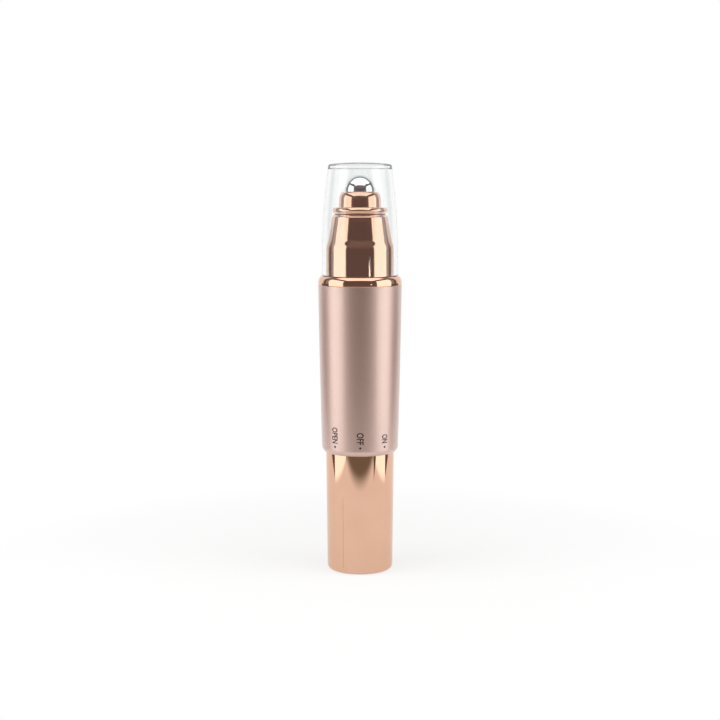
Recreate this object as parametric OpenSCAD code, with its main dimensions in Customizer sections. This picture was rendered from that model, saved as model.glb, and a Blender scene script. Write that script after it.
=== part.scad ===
// A roll-on eye massager wand. The barrel holds one cell. The sleeve and head
// twist on it through OPEN, OFF and ON, and pull off it at OPEN. The head warms
// and shakes a steel ball, under a clear cap.
// The wand stands on the middle of its base, +Z up, in millimetres. The printed
// positions face -Y, and azimuths are counted from there towards +X. The model
// shows the wand at OPEN.

/* [Cell and barrel] */
// Radius of the cell, a standard AA
cell_r = 7.25; // [6:0.05:8.7]
// Length of the cell over its nub
cell_len = 50.5; // [42:0.5:61]
// Free space round the cell
cell_gap = 0.45; // [0.3:0.05:0.7]
// Height left for the squeezed battery spring
spring_h = 5; // [4:0.5:7]
// Wire radius of the battery spring
spring_wire_r = 0.35; // [0.25:0.05:0.45]
// Turns of the battery spring
spring_turns = 3.5; // [2.5:0.5:4]
// Wall of the battery tube
tube_wall = 1.6; // [1.3:0.1:2]
// Space between the battery tube and the barrel shell's mouth
shell_gap = 0.9; // [0.6:0.1:1.5]
// Wall of the barrel shell
barrel_wall = 1.2; // [1:0.1:1.5]
// How much slimmer the barrel is at its foot
barrel_draft = 0.42; // [0:0.02:0.6]
// Thickness of the barrel shell's base
base_t = 1.8; // [1.5:0.1:2.5]
// Rounding of the base's edge
base_round = 1.45; // [0.8:0.05:1.75]
// Width of the index groove
index_w = 1.5; // [1:0.1:2.5]
// Depth of the index groove
index_depth = 0.15; // [0.1:0.05:0.3]
// Height of the index groove's lower end
index_low = 2.2; // [2:0.1:6]
// Length of the index groove
index_len = 24; // [8:0.1:30]
// Azimuth of the index groove
index_az = -33.5; // [-90:0.5:0]

/* [Twist joint] */
// Length of the battery tube inside the sleeve
tube_tuck = 14.2; // [13.8:0.1:18]
// Angle from one switch position to the next
step_angle = 40; // [30:1:40]
// Angle of one bayonet lug
lug_angle = 24; // [18:1:24]
// Height of one bayonet lug
lug_h = 2; // [1.6:0.1:2.2]
// How far a lug stands out of the tube
lug_out = 1.2; // [0.9:0.1:1.6]
// Height of the ring's lands under the lugs
land_h = 4; // [3:0.1:4.2]
// Thickness of the selector ring
selector_t = 1.5; // [1.2:0.1:1.9]
// Height of the selector's driving dogs
dog_h = 2; // [1.4:0.1:2]
// Height between the battery tube's top and the contact board
switch_h = 5.4; // [5:0.1:7]

/* [Sleeve and collar] */
// Length of the sleeve
sleeve_len = 55.8; // [46:0.2:68]
// Wall of the sleeve
sleeve_wall = 1; // [0.9:0.05:1.3]
// Wall of the sleeve's lip, round the barrel
lip_wall = 1.11; // [0.95:0.01:1.4]
// Height of the lip's inner land
lip_h = 5.4; // [5:0.1:6]
// Outer rounding of the sleeve's lower edge
lip_round = 2.2; // [1.5:0.1:2.6]
// How much the sleeve's side bows out of the straight
sleeve_bow = 0.1; // [0:0.05:0.4]
// Height of the collar ring that shows
collar_h = 3; // [2.5:0.1:4]
// Width of the collar's rounded upper edge
collar_round = 1.5; // [0.8:0.1:1.8]
// Height of the collar's rounded upper edge
collar_fall = 2.2; // [1.2:0.1:2.5]
// Width of the collar's flat, outside the cap
collar_ledge = 1.24; // [1:0.02:2]

/* [Head] */
// Height of the nozzle above the collar
nozzle_h = 19.95; // [18:0.05:24]
// Height of the nozzle's step above the collar
step_up = 8.8; // [7.5:0.1:11]
// How far the nozzle steps in
step_in = 0.88; // [0.6:0.02:1.1]
// Wall of the nozzle
nozzle_wall = 1.5; // [1.2:0.1:1.6]
// Radius of the roller ball
ball_r = 5; // [4.1:0.05:6]
// Running clearance round the ball
ball_play = 0.03; // [0.02:0.01:0.05]
// Height of the ball's centre above the dome's lip
ball_rise = 0.45; // [0.3:0.05:0.6]
// How far the retainer's lip reaches above the ball's centre
retain_h = 0.9; // [0.85:0.05:1.2]
// Wall of the heat cup round the ball
seat_wall = 1.1; // [0.9:0.05:1.4]
// Wall of the dome
dome_wall = 0.95; // [0.8:0.05:1.3]
// Height of the dome and its flange above the gasket
dome_h = 7.3; // [7:0.05:9]
// Width of the dome's rounded shoulder
dome_round = 1.6; // [1:0.1:1.6]
// Thickness of the flange
flange_t = 2.2; // [1.8:0.05:2.6]
// How far the flange stands out of the dome
flange_out = 2.05; // [1.2:0.05:2.3]
// Thickness of the neck gasket
gasket_t = 0.25; // [0.2:0.05:0.5]
// Thickness of the heater ring
heater_t = 1.3; // [1:0.1:1.8]

/* [Motor] */
// Radius of the vibration motor
motor_r = 5; // [4:0.1:6]
// Length of the motor's can
motor_len = 12; // [10:0.5:13]
// Radius of the motor's shaft
shaft_r = 0.5; // [0.4:0.05:0.75]
// Radius of the eccentric weight
weight_r = 4.2; // [3:0.1:5]
// Height of the eccentric weight
weight_h = 4.5; // [3:0.1:5]
// Wall of the motor's rubber boot
boot_wall = 1.2; // [1:0.1:1.5]
// Wall of the frame's motor cup
cup_wall = 1; // [0.8:0.1:1.3]

/* [Cap] */
// Wall of the cap
cap_wall = 1.2; // [1:0.05:1.5]
// Fit of the cap round the nozzle
cap_gap = 0.14; // [0.1:0.01:0.3]
// Thickness of the cap's top at its middle
cap_top_t = 2.2; // [1.6:0.1:3]
// Room over the ball
cap_room = 2.05; // [1:0.05:4]
// How much slimmer the cap is at its top
cap_taper = 2.12; // [1:0.02:2.3]
// Height of the cap's straight lower part
cap_straight = 5; // [2:0.5:10]

/* [Hidden] */
$fn = 96;

snug = 0.02; // gap between pieces that are pressed or glued together
run_gap = 0.15; // gap between pieces that turn or slide on each other
stop_gap = 0.25; // end gap between bodies that meet at a stop
over = 1; // how far a cutter runs past what it cuts

// Heights in the barrel
tube_floor = 1.2;
plate_t = 0.4;
strip_t = 0.3;
plate_z = base_t + tube_floor;
cell_z = plate_z + plate_t + spring_h;
nub_h = 1;
board_z = cell_z + cell_len + 0.7;
tube_top_z = board_z - switch_h;
lip_z = tube_top_z - tube_tuck;

// Radii of the barrel, from the cell outwards
tube_bore_r = cell_r + cell_gap;
tube_r = tube_bore_r + tube_wall;
barrel_r = tube_r + shell_gap + barrel_wall;
foot_r = barrel_r - barrel_draft;
lip_bore_r = barrel_r + run_gap;
tube_flange_r = barrel_r - 0.1;
tube_flange_h = 2.4;
rim_z = lip_z + 2.6;
strip_w = 3;
channel_d = 0.5;

// O-ring in the tube's flange
seal_wire_r = 0.6;
seal_r = lip_bore_r - 0.1 - seal_wire_r;
seal_z = rim_z + tube_flange_h / 2;

// Bayonet: three lugs pass three gates, then turn in the track
LUG_AZ = [0, 120, 240];
DOG_AZ = [60, 180, 300];
ledge_z = lip_z + lip_h;
land_z = ledge_z + land_h;
lug_z = land_z + stop_gap;
lug_r = tube_r + lug_out;
track_r = lug_r + stop_gap;
gate_half = lug_angle / 2 + 1.3;
stop_free = 1.5; // degrees between a lug and its stop
stop_half = (120 - 2 * step_angle - lug_angle) / 2 - stop_free;
stop_az = 60 + step_angle;
ring_top_z = tube_top_z + 0.2;
selector_z = ring_top_z + stop_gap;
selector_top_z = selector_z + selector_t;
selector_r = track_r + 0.15;
selector_bore_r = tube_bore_r + 0.3;
dog_half = 10;
dog_play = 1; // degrees at each side of a dog
frame_bore_r = selector_r + 0.2;

// Switch contacts
wiper_w = 1.3;
wiper_t = 0.2;
wiper_r = selector_bore_r + 1.3;
wiper_az = 60;
track_az = wiper_az + 2 * step_angle;
track_t = 0.15;
detent_az = 240;
detent_r = selector_r - 0.4;
board_t = 1;

// Sleeve and what it holds
sleeve_top_z = lip_z + sleeve_len;
collar_top_z = sleeve_top_z + collar_h;
floor_z = board_z + board_t;
floor_t = 1.4;
plate_top_z = sleeve_top_z - 0.8;
plate_low_z = plate_top_z - 1.8;
deck_z = plate_low_z - 6.9;
deck_t = 1.2;

// Radii of the head, from the motor outwards
boot_r = motor_r + snug + boot_wall;
cup_r = boot_r + snug + cup_wall;
screw_r = 0.9;
screw_head_r = 1.6;
screw_head_h = 1.2;
screw_len = 6.8;
boss_r = 1.65;
screw_circle_r = cup_r + screw_head_r + 0.1;
SCREW_AZ = [60, 180, 300];
nozzle_r = screw_circle_r + boss_r + 0.7;
nozzle_bore_r = nozzle_r - nozzle_wall;
nozzle_flange_r = nozzle_r + 0.6;
nozzle_flange_h = 1.4;
cap_r = nozzle_r + cap_gap + cap_wall;
collar_r = cap_r + collar_ledge;
collar_bore_r = nozzle_r + 0.05;
collar_skirt_z = sleeve_top_z - 2;
foot_sleeve_r = lip_bore_r + lip_wall;
ring_r = sleeve_bore(ledge_z) - snug;
frame_r = ring_r;
rail_r = frame_r - 1.15;
rail_t = 1.8;
rail_w = 4.6;
slot_d = 0.8;
board_half = rail_r - rail_t + slot_d - 0.1;
board_low_z = floor_z + floor_t + 2.5;
board_high_z = deck_z - 1.8;

// Head, above the nozzle
nozzle_top_z = collar_top_z + nozzle_h;
nozzle_draft = 0.13;
step_z = collar_top_z + step_up;
step_h = 3.5;
ferrule_z = nozzle_top_z + gasket_t;
dome_top_z = ferrule_z + dome_h;
ball_z = dome_top_z + ball_rise;
seat_r = ball_r + ball_play;
ferrule_bore_r = ball_r + seat_wall;
dome_r = ferrule_bore_r + dome_wall;
flange_r = dome_r + flange_out;
spigot_r = dome_r + 0.15;
spigot_z = nozzle_top_z - 3.25;
neck_r = spigot_r + 1.5;
shoulder_r = neck_r + 0.5;
neck_h = 0.2;
shoulder_round = 0.9;
lip_t = 0.17; // wall of the retainer at the ball's widest
retainer_r = seat_r + lip_t;
retainer_flange_t = 0.7;
dome_roof_t = 0.6;
dome_fall = 2.9; // height of the dome's shoulder
seat_bevel = 0.35;
cup_top_z = dome_top_z - dome_roof_t - retainer_flange_t;
heater_z = spigot_z + 1.8;
cup_low_z = heater_z + heater_t;
holder_low_z = spigot_z - 1.2;

// Motor
motor_z = deck_z + deck_t + 1.3;
shaft_play = 0.03;
weight_z = motor_z + motor_len + 1.4;
bell_hole_r = 2.5;

// Cap
cap_z = collar_top_z + 0.1;
cap_ceiling_z = ball_z + ball_r + cap_room;
cap_top_z = cap_ceiling_z + cap_top_t;
cap_crown = 0.7;
cap_edge_r = 0.8;
cap_shoulder_z = cap_top_z - cap_crown - cap_edge_r;

// Wires: radius, and where the front bundle runs
wire_r = 0.4;
thin_wire_r = 0.3;
bundle_y = -(cup_r + 1.46);
board_face = board_t / 2 + wire_r + 0.15;

// Outer radius of the sleeve at a height
function sleeve_r(z) = let (t = (z - lip_z) / sleeve_len)
    foot_sleeve_r + (collar_r - snug / 2 - foot_sleeve_r) * t + sleeve_bow * 4 * t * (1 - t);
function sleeve_bore(z) = sleeve_r(z) - sleeve_wall;

// Quarter of an ellipse that rounds an upper corner
function soft_edge(r, z, width, fall) =
    [for (i = [0:10]) [r - width * (1 - cos(9 * i)), z - fall * (1 - sin(9 * i))]];

// Outer radius of the cap at a height
function cap_side(z) = z < cap_z + cap_straight ? cap_r :
    cap_r - cap_taper * pow((z - cap_z - cap_straight) / (cap_shoulder_z - cap_z - cap_straight), 2);

// Points of an arc in a profile, from angle a0 to a1
function arc(c, r, a0, a1, n = 8) =
    [for (i = [0:n]) let (a = a0 + (a1 - a0) * i / n) [c[0] + r * cos(a), c[1] + r * sin(a)]];

// A point at a radius, an azimuth and a height
function at(r, az, z) = [r * sin(az), -r * cos(az), z];

// A smooth curve through a list of points
function bend(p, i, t) = let (a = p[max(i - 1, 0)], b = p[i], c = p[i + 1], d = p[min(i + 2, len(p) - 1)])
    0.5 * (2 * b + (c - a) * t + (2 * a - 5 * b + 4 * c - d) * t * t + (3 * b - a - 3 * c + d) * t * t * t);
function smooth(p, n = 4) = concat(
    [for (i = [0:len(p) - 2], k = [0:n - 1]) bend(p, i, k / n)], [p[len(p) - 1]]);
function unit(v) = v / norm(v);
function heading(p, i) = unit(p[min(i + 1, len(p) - 1)] - p[max(i - 1, 0)]);

// A round tube along a list of points; side is a direction that the path never takes
module tube_along(p, r, side, n = 8) {
    rings = [for (i = [0:len(p) - 1])
        let (t = heading(p, i), u = unit(side - (side * t) * t), v = cross(t, u))
        for (k = [0:n - 1]) p[i] + r * (cos(360 * k / n) * u + sin(360 * k / n) * v)];
    last = (len(p) - 1) * n;
    walls = [for (i = [0:len(p) - 2], k = [0:n - 1]) let (a = i * n + k, b = i * n + (k + 1) % n)
        each [[a, a + n, b], [b, a + n, b + n]]];
    ends = [for (k = [1:n - 2]) each [[0, k, k + 1], [last, last + k + 1, last + k]]];
    polyhedron(rings, concat(walls, ends));
}

module turned(points) {
    rotate_extrude() polygon(points);
}

module disc(z0, z1, r) {
    translate([0, 0, z0]) cylinder(h = z1 - z0, r = r);
}

module washer(z0, z1, r_out, r_in) {
    difference() {
        disc(z0, z1, r_out);
        disc(z0 - over, z1 + over, r_in);
    }
}

// A piece of a ring, centred on an azimuth
module ring_piece(az, half, z0, z1, r_out, r_in) {
    far = 2 * r_out;
    intersection() {
        washer(z0, z1, r_out, r_in);
        rotate([0, 0, az]) translate([0, 0, z0 - over]) linear_extrude(z1 - z0 + 2 * over)
            polygon([[0, 0], [-far * tan(half), -far], [far * tan(half), -far]]);
    }
}

// --- Barrel: what stands still when the sleeve is twisted or pulled ---

module barrel_profile(grow = 0) {
    polygon(concat([[0, 0]], arc([foot_r - base_round, base_round], base_round + grow, -90, 0),
        [[barrel_r + grow, lip_z], [barrel_r + grow, rim_z], [0, rim_z]]));
}

module barrel_shell() {
    color("#dcae92") difference() {
        rotate_extrude() barrel_profile();
        turned([[0, base_t], [foot_r - barrel_wall, base_t], [barrel_r - barrel_wall, rim_z + over],
            [0, rim_z + over]]);
        difference() {
            rotate([0, 0, index_az]) translate([-index_w / 2, -barrel_r - over, index_low])
                cube([index_w, barrel_r, index_len]);
            rotate_extrude() barrel_profile(-index_depth);
        }
    }
}

module battery_tube() {
    color("#2b2b2d") difference() {
        union() {
            disc(base_t, tube_top_z, tube_r);
            disc(rim_z, rim_z + tube_flange_h, tube_flange_r);
            for (az = LUG_AZ) ring_piece(az, lug_angle / 2, lug_z, lug_z + lug_h, lug_r, tube_r - 0.5);
        }
        disc(plate_z, tube_top_z + over, tube_bore_r);
        washer(seal_z - seal_wire_r - 0.05, seal_z + seal_wire_r + 0.05, lip_bore_r + over,
            seal_r - seal_wire_r - snug);
        for (az = DOG_AZ) ring_piece(az, dog_half + dog_play, selector_z - dog_h - stop_gap,
            tube_top_z + over, tube_r + over, tube_bore_r - over);
        translate([-strip_w / 2 - run_gap, -tube_bore_r - channel_d, plate_z])
            cube([strip_w + 2 * run_gap, channel_d + over, tube_top_z]);
        translate([-strip_w / 2 - run_gap, -tube_r - over, tube_top_z - strip_t])
            cube([strip_w + 2 * run_gap, tube_wall + 2 * over, over]);
    }
}

module seal_ring() {
    color("#1d1d1f") rotate_extrude() translate([seal_r, seal_z]) circle(r = seal_wire_r);
}

// Base plate, riser up the tube's channel and tab over its rim, one stamping
module negative_strip() {
    riser_y = tube_bore_r + strip_t + 0.1;
    color("#c9a75f") union() {
        disc(plate_z, plate_z + plate_t, cell_r - 0.6);
        translate([-strip_w / 2, -riser_y, plate_z]) cube([strip_w, riser_y, plate_t]);
        translate([-strip_w / 2, -riser_y, plate_z]) cube([strip_w, strip_t, tube_top_z - plate_z]);
        translate([-strip_w / 2, -tube_r + 0.3, tube_top_z - strip_t + snug])
            cube([strip_w, tube_wall - 0.5, strip_t - snug]);
    }
}

module battery_spring() {
    low = plate_z + plate_t + spring_wire_r + snug;
    rise = spring_h - 2 * spring_wire_r - 2 * snug;
    steps = 18 * spring_turns;
    color("#b9bcc0") tube_along([for (i = [0:steps]) let (t = i / steps)
        at(cell_r - 2 - 1.8 * t, 360 * spring_turns * t, low + rise * t)], spring_wire_r, [0, 0, 1]);
}

module battery_cell() {
    top = cell_z + cell_len;
    color("#46484c") turned([[0, cell_z], [cell_r - 2.6, cell_z], [cell_r - 2.4, cell_z + 0.3],
        [cell_r - 0.7, cell_z + 0.3], [cell_r - 0.3, cell_z + 0.1], [cell_r, cell_z + 0.6],
        [cell_r, top - nub_h - 0.9], [cell_r - 0.5, top - nub_h - 0.3], [cell_r - 1.2, top - nub_h],
        [2.75, top - nub_h], [2.75, top - 0.3], [2.45, top], [0, top]]);
}

// --- Selector: the ring that the barrel turns inside the sleeve ---

module selector_ring() {
    color("#e8e6e0") difference() {
        union() {
            washer(selector_z, selector_top_z, selector_r, selector_bore_r);
            for (az = DOG_AZ) ring_piece(az, dog_half, selector_z - dog_h, selector_z + 0.5,
                tube_r - run_gap, selector_bore_r);
        }
        ring_piece(0, 5, selector_z - over, selector_top_z + over, wiper_r + 0.35, wiper_r - 0.35);
        ring_piece(detent_az, 17, selector_z + 0.3, selector_top_z + over, selector_r + over,
            detent_r - 0.6);
    }
}

// Pad over the barrel's strip, riser through the selector, long arm on top of it,
// and a raised leaf whose bump meets the track
module wiper() {
    out_r = wiper_r + wiper_w / 2;
    in_r = wiper_r - wiper_w / 2;
    bump_z = board_z - track_t - 0.1;
    leaf_z = bump_z - 0.5;
    color("#cfae63") union() {
        ring_piece(0, 7, selector_z - wiper_t, selector_z, tube_r - 0.1, selector_bore_r + 0.1);
        ring_piece(0, 4, selector_z - 0.1, selector_top_z + 0.1, wiper_r + 0.2, wiper_r - 0.2);
        ring_piece(wiper_az / 2 - 5, wiper_az / 2, selector_top_z, selector_top_z + wiper_t, out_r, in_r);
        ring_piece(wiper_az - 6.2, 1.2, selector_top_z, leaf_z + wiper_t, out_r, in_r);
        ring_piece(wiper_az, 7, leaf_z, leaf_z + wiper_t, out_r, in_r);
        ring_piece(wiper_az + 4, 2, leaf_z, bump_z, out_r - 0.2, in_r + 0.2);
    }
}

module detent_leaf() {
    color("#aeb1b5") union() {
        ring_piece(detent_az, 15, selector_z + 0.35, selector_top_z - 0.05, detent_r - 0.1,
            detent_r - 0.35);
        translate(at(detent_r, detent_az, selector_z + 0.35)) cylinder(h = selector_t - 0.4, r = 0.45);
    }
}

// --- Handle: sleeve, switch, frame and head ---

module sleeve() {
    c = sleeve_r(lip_z + lip_round) - lip_round;
    cz = lip_z + sqrt(lip_round * lip_round - pow(lip_bore_r - c, 2));
    a0 = -acos((lip_bore_r - c) / lip_round);
    side = [for (i = [0:14]) let (z = cz + (sleeve_top_z - 0.25 - cz) * i / 14) [sleeve_r(z), z]];
    bore = [for (i = [0:10]) let (z = sleeve_top_z - (sleeve_top_z - ledge_z) * i / 10) [sleeve_bore(z), z]];
    color("#b8968a") turned(concat(arc([c, cz], lip_round, a0, -8), side,
        [[sleeve_r(sleeve_top_z) - 0.25, sleeve_top_z]], bore, [[lip_bore_r, ledge_z]]));
}

module bayonet_ring() {
    color("#f0eee8") difference() {
        union() {
            difference() {
                disc(ledge_z, ring_top_z, ring_r);
                disc(land_z, ring_top_z + over, track_r);
            }
            for (az = LUG_AZ) ring_piece(az + stop_az, stop_half, land_z - 0.5, lug_z + lug_h + 0.3,
                ring_r - 0.5, tube_r);
        }
        disc(ledge_z - over, ring_top_z + over, tube_r + 0.2);
        for (az = LUG_AZ) ring_piece(az, gate_half, ledge_z - over, land_z + over, track_r, tube_r - over);
    }
}

// Skirt over the selector, two rails for the circuit board, motor cup and top plate
module inner_frame() {
    color("#3a3b3e") difference() {
        union() {
            disc(ring_top_z, floor_z + floor_t, frame_r);
            intersection() {
                washer(floor_z + floor_t - 0.5, deck_z + 0.5, rail_r, rail_r - rail_t);
                translate([-rail_r, -rail_w / 2, floor_z]) cube([2 * rail_r, rail_w, deck_z - floor_z + 1]);
            }
            disc(deck_z, deck_z + deck_t, rail_r);
            disc(deck_z, plate_top_z, cup_r);
            disc(plate_low_z, plate_top_z, nozzle_flange_r);
        }
        disc(ring_top_z - over, floor_z, frame_bore_r);
        disc(floor_z - over, floor_z + floor_t + over, 2.2);
        translate(at(wiper_r, track_az, floor_z - over)) cylinder(h = floor_t + 2 * over, r = 1);
        disc(deck_z + deck_t, plate_top_z + over, boot_r + snug);
        disc(deck_z - over, deck_z + deck_t + over, bell_hole_r);
        translate([-board_half - 0.1, -board_t / 2 - 0.05, board_low_z])
            cube([2 * board_half + 0.2, board_t + 0.1, deck_z - board_low_z]);
        translate([-2.5, -cup_r - 9.4, deck_z - over]) cube([5, 9, 12]);
        for (az = SCREW_AZ) translate(at(screw_circle_r, az, plate_low_z - over))
            cylinder(h = 4, r = screw_r + 0.15);
        for (k = [0:2]) translate(at(frame_bore_r - 0.2, detent_az + k * step_angle, ring_top_z - over))
            cylinder(h = selector_top_z - ring_top_z + 1.2, r = 0.5);
    }
}

module contact_board() {
    color("#2f6b46") difference() {
        disc(board_z, floor_z, frame_bore_r - 0.1);
        disc(board_z - over, floor_z + over, 0.9);
        translate(at(wiper_r, track_az, board_z - over)) cylinder(h = 3, r = wire_r + 0.1);
    }
}

// Brass pad that the wiper meets at ON
module switch_track() {
    color("#d0a860") ring_piece(track_az, 10, board_z - track_t, board_z, wiper_r + 0.7, wiper_r - 0.7);
}

// Rivet over the cell's nub
module positive_contact() {
    color("#d0a860") turned([[0, board_z - 0.6], [1.9, board_z - 0.6], [2.5, board_z - 0.3], [2.5, board_z],
        [0.85, board_z], [0.85, floor_z], [1.5, floor_z], [1.3, floor_z + 0.4], [0, floor_z + 0.4]]);
}

module circuit_board() {
    color("#256040") translate([-board_half, -board_t / 2, board_low_z])
        cube([2 * board_half, board_t, board_high_z - board_low_z]);
}

// Controller, booster coil, capacitor and two resistors on the front of the board
module board_parts() {
    mid = (board_low_z + board_high_z) / 2 - 2;
    front = -board_t / 2;
    color("#26272a") translate([-6, front - 1.5, mid - 2]) cube([5, 1.5, 4]);
    color("#4b4d52") translate([4.2, front, mid + 0.5]) rotate([90, 0, 0]) cylinder(h = 2.6, r = 2.4);
    color("#7d6a35") translate([4.2, front, mid - 4.5]) rotate([90, 0, 0]) cylinder(h = 3.2, r = 1.6);
    for (x = [-5, -2.5]) color("#3c3c40") translate([x, front - 0.5, mid - 5]) cube([0.9, 0.5, 1.6]);
}

module motor_boot() {
    color("#3b3b3d") difference() {
        disc(deck_z + deck_t, motor_z + motor_len - 1.8, boot_r);
        disc(motor_z, motor_z + motor_len, motor_r + snug);
        disc(deck_z, motor_z + over, bell_hole_r);
    }
}

module motor_can() {
    color("#a9acb1") difference() {
        union() {
            disc(motor_z, motor_z + motor_len, motor_r);
            disc(motor_z, motor_z + motor_len + 0.6, 1.5);
        }
        disc(motor_z + 2, motor_z + motor_len + over, shaft_r + shaft_play);
    }
}

module frame_screws() {
    for (az = SCREW_AZ) color("#8f9297") translate(at(screw_circle_r, az, plate_low_z - screw_head_h))
        difference() {
            union() {
                cylinder(h = screw_head_h, r = screw_head_r);
                cylinder(h = screw_head_h + screw_len, r = screw_r);
            }
            for (a = [0, 90]) rotate([0, 0, a]) translate([-1, -0.2, -over]) cube([2, 0.4, over + 0.6]);
        }
}

module collar_ring() {
    skirt_r = min(sleeve_bore(collar_skirt_z), sleeve_bore(sleeve_top_z)) - snug;
    under_r = nozzle_flange_r + 0.1;
    under_z = plate_top_z + nozzle_flange_h + 0.1;
    color("#e0b092") turned(concat([[under_r, collar_skirt_z], [skirt_r, collar_skirt_z],
        [skirt_r, sleeve_top_z], [collar_r, sleeve_top_z]],
        soft_edge(collar_r, collar_top_z, collar_round, collar_fall),
        [[collar_bore_r, collar_top_z], [collar_bore_r, under_z], [under_r, under_z]]));
}

// Draught, S-shaped step that runs into the taper, shoulder and neck
module nozzle() {
    r1 = nozzle_r - nozzle_draft;
    neck_z = nozzle_top_z - neck_h;
    shoulder_z = neck_z - 0.83;
    taper = (r1 - step_in - shoulder_r) / (shoulder_z - step_z - step_h) * step_h;
    outside = concat([[nozzle_flange_r, plate_top_z], [nozzle_flange_r, plate_top_z + nozzle_flange_h],
        [nozzle_r, plate_top_z + nozzle_flange_h], [nozzle_r, collar_top_z]],
        [for (i = [0:8]) let (t = i / 8)
            [r1 - step_in * (3 * t * t - 2 * t * t * t) + taper * (t * t - t * t * t), step_z + step_h * t]],
        arc([shoulder_r - shoulder_round, shoulder_z], shoulder_round, 8, 62, 6),
        [[neck_r, neck_z], [neck_r, nozzle_top_z]]);
    inside = [[spigot_r + snug, nozzle_top_z], [spigot_r + snug, neck_z - 1.2],
        [shoulder_r - nozzle_wall, neck_z - 1.8], [nozzle_bore_r - nozzle_draft - step_in, step_z + step_h],
        [nozzle_bore_r - nozzle_draft, step_z], [nozzle_bore_r, collar_top_z], [nozzle_bore_r, plate_top_z]];
    color("#dba888") difference() {
        union() {
            turned(concat(outside, inside));
            for (az = SCREW_AZ) translate(at(screw_circle_r, az, plate_top_z)) cylinder(h = 7, r = boss_r);
        }
        for (az = SCREW_AZ) translate(at(screw_circle_r, az, plate_top_z - over))
            cylinder(h = 7, r = screw_r + snug);
    }
}

module neck_gasket() {
    color("#2a2523") washer(nozzle_top_z, ferrule_z, neck_r - 0.3, spigot_r + snug);
}

// Dome, flange and the spigot that sits in the nozzle's neck
module ball_ferrule() {
    tip_z = ferrule_z + 1.1;
    flange_top_z = ferrule_z + flange_t;
    roof_z = dome_top_z - dome_roof_t;
    color("#e0ad8d") turned(concat([[ferrule_bore_r, spigot_z], [spigot_r, spigot_z], [spigot_r, ferrule_z],
        [flange_r - 0.7, ferrule_z], [flange_r - 0.1, tip_z - 0.2], [flange_r, tip_z],
        [flange_r, tip_z + 0.15], [flange_r - 0.35, flange_top_z - 0.15],
        [flange_r - 0.5, flange_top_z], [dome_r, flange_top_z]],
        soft_edge(dome_r - 0.1, dome_top_z, dome_round, dome_fall),
        [[retainer_r + 0.05, dome_top_z], [retainer_r + 0.05, roof_z],
            [ferrule_bore_r - seat_bevel, roof_z], [ferrule_bore_r, roof_z - seat_bevel]]));
}

// Steel ring whose thin lip closes over the ball's widest part
module ball_retainer() {
    low = cup_top_z;
    out = ferrule_bore_r - snug;
    top = low + retainer_flange_t;
    color("#c9ccd0") rotate_extrude() difference() {
        polygon([[ball_r - 1, low], [out, low], [out, top - seat_bevel], [out - seat_bevel, top],
            [retainer_r, top], [retainer_r, ball_z], [retainer_r - 0.1, ball_z + retain_h],
            [ball_r - 1, ball_z + retain_h]]);
        translate([0, ball_z]) circle(r = seat_r);
    }
}

// Aluminium cup that carries the heat to the ball
module heat_cup() {
    color("#c3c6ca") difference() {
        disc(cup_low_z, cup_top_z, ferrule_bore_r - snug);
        translate([0, 0, ball_z]) sphere(r = seat_r);
        disc(cup_low_z - over, cup_low_z + 1.4, 1.1);
    }
}

module heater_ring() {
    color("#d9d3c4") washer(heater_z, cup_low_z, ferrule_bore_r - 0.5, 2.2);
}

module thermistor() {
    color("#7a4a2c") translate([0, 0, cup_low_z + 0.3]) sphere(r = 0.9);
}

// Plug that presses the heater up, with holes for its wires
module heater_holder() {
    color("#d8cfba") difference() {
        union() {
            disc(spigot_z, heater_z, ferrule_bore_r - snug);
            disc(holder_low_z, spigot_z, spigot_r - 0.3);
        }
        disc(holder_low_z - over, heater_z + over, 1.3);
        for (x = [-3.2, 3.2]) translate([x, 0, holder_low_z - over]) cylinder(h = 6, r = wire_r + 0.2);
    }
}

// Heater leads outside, sensor leads inside, from the head down the front to the board
module heater_wires() {
    for (s = [-1, 1]) {
        color("#b9442f") heater_lead(3.2 * s, 1.5 * s, heater_z - snug, wire_r);
        color("#d8d3c8") heater_lead(0.5 * s, 0.5 * s, cup_low_z - 0.62, thin_wire_r);
    }
}

module heater_lead(x0, x1, top, r) {
    tube_along(smooth([[x0, 0, top], [x0, 0, holder_low_z - 0.2], [x0, -1.2, holder_low_z - 1.6],
        [(x0 + x1) / 2, -4.6, holder_low_z - 3.6], [x1, bundle_y + 0.7, holder_low_z - 7],
        [x1, bundle_y, holder_low_z - 11], [x1, bundle_y, plate_low_z],
        [x1, bundle_y, deck_z], [x1, -5.8, deck_z - 2.2], [x1, -2, board_high_z - 2.4],
        [x1, -board_face, board_high_z - 4], [x1, -board_face, board_high_z - 5.4]]), r, [1, 0, 0]);
}

module motor_wires() {
    for (s = [-1, 1]) color(s < 0 ? "#b33a3a" : "#33435c")
        tube_along(smooth([[1.2 * s, 1.4, motor_z - 0.08], [1.2 * s, 1.6, deck_z - 0.3],
            [1.2 * s, 1.7, board_high_z], [1.2 * s, board_face, board_high_z - 2],
            [1.2 * s, board_face, board_high_z - 4]]), wire_r, [1, 0, 0]);
}

module cell_wires() {
    via = at(wiper_r, track_az, board_z + snug);
    x = via[0];
    low = board_low_z;
    color("#a83232") tube_along(smooth([[0, 0, floor_z + 0.45 + snug], [0, 0.1, low - 1.6],
        [0, 1.8, low - 0.8], [0, 2.1, low + 1], [0, board_face, low + 2.8],
        [0, board_face, low + 4.5]]), wire_r, [1, 0, 0]);
    color("#2c2c30") tube_along(smooth([via, [x, via[1], low - 0.8], [x - 0.5, via[1] - 0.8, low + 1],
        [x - 1.5, via[1] - 4, low + 3], [x - 1.8, board_face + 0.3, low + 5.4],
        [x - 1.8, board_face, low + 7]]), wire_r, [1, 0, 0]);
}

// --- Rotor of the vibration motor ---

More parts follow.
